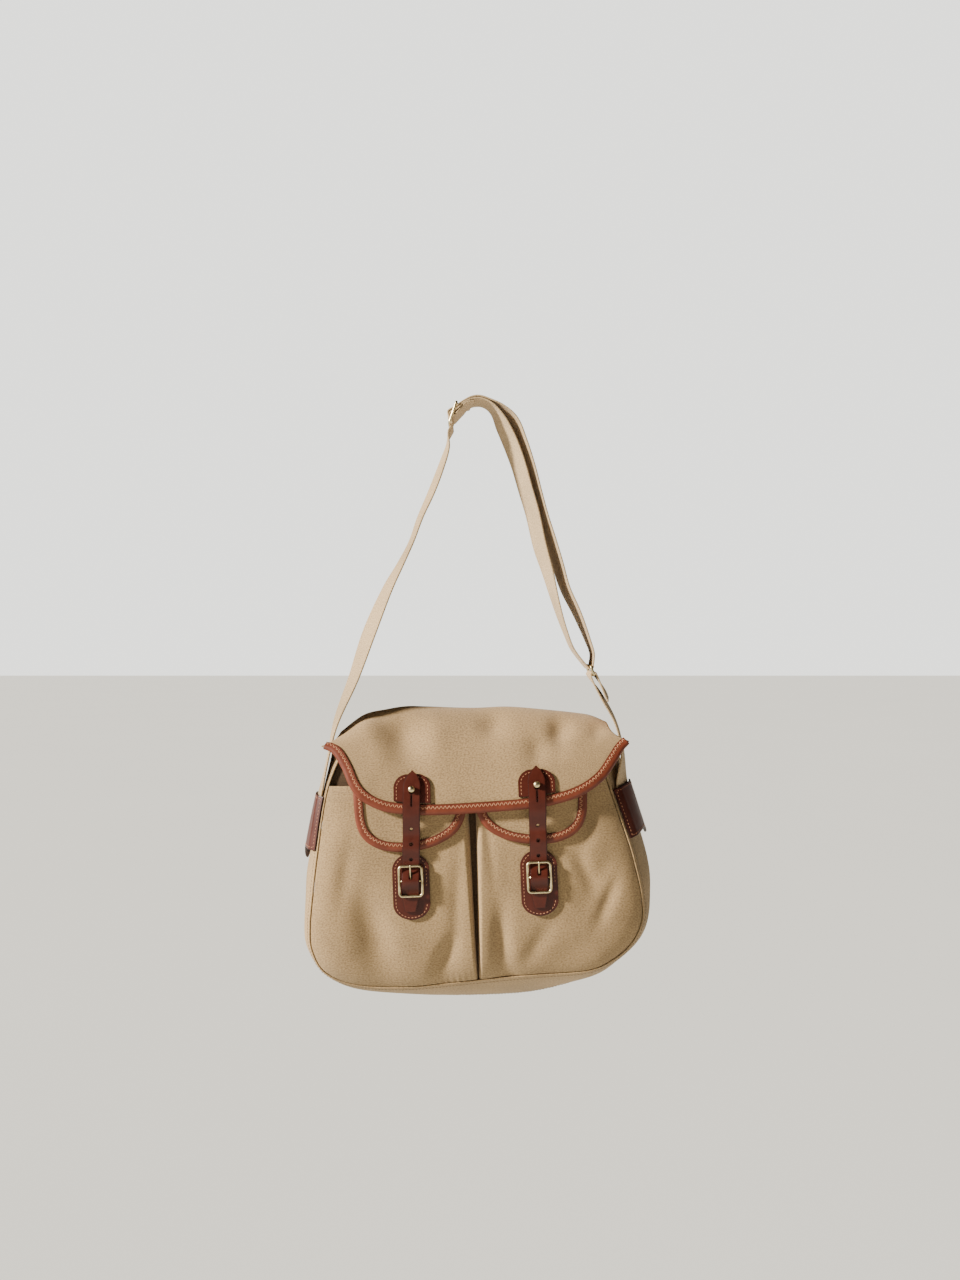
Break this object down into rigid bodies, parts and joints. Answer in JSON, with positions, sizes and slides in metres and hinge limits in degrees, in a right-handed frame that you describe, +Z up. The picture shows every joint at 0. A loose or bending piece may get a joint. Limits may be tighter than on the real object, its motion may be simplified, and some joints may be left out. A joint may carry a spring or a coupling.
{
  "type": "fishing creel bag",
  "caption": "Hanging canvas fishing creel bag with leather trim: flap, front pockets under small flaps, buckled closing straps and a webbing shoulder strap.",
  "frame": {"origin": "hang point, on the underside of the shoulder strap where it passes over its support", "axes": "+X to the viewer's right across the bag, +Y from the front of the bag to its back, +Z up"},
  "size_m": [0.3817, 0.0948, 0.6666],
  "materials": {
    "canvas": "heavy khaki cotton canvas, plain weave, matt",
    "canvas_inner": "shaded brown cotton canvas behind the pockets, matt",
    "webbing": "folded and stitched khaki cotton strap cloth, matt",
    "strap_leather": "reddish brown bridle leather, waxed, soft gloss",
    "binding_leather": "orange brown binding leather, smooth, soft gloss",
    "brass": "pale brass, worn polish"
  },
  "bodies": {
    "root": {"gusset": "canvas", "front_panel": "canvas_inner", "back_panel": "canvas", "flap": "canvas", "flap_binding": "binding_leather", "pocket_left": "canvas", "pocket_right": "canvas", "pocket_flap_left": "canvas", "pocket_flap_right": "canvas", "pocket_flap_binding_left": "binding_leather", "pocket_flap_binding_right": "binding_leather", "stud_patch_left": "strap_leather", "stud_patch_right": "strap_leather", "buckle_patch_left": "strap_leather", "buckle_patch_right": "strap_leather", "closing_strap_left": "strap_leather", "closing_strap_right": "strap_leather", "side_tab_left": "binding_leather", "side_tab_right": "binding_leather", "stud_left": "brass", "stud_right": "brass", "buckle_left": "brass", "buckle_right": "brass", "buckle_tongue_left": "brass", "buckle_tongue_right": "brass", "shoulder_strap_long": "webbing", "shoulder_strap_short": "webbing", "strap_slider": "brass", "strap_ring": "brass"}
  },
  "joints": []
}
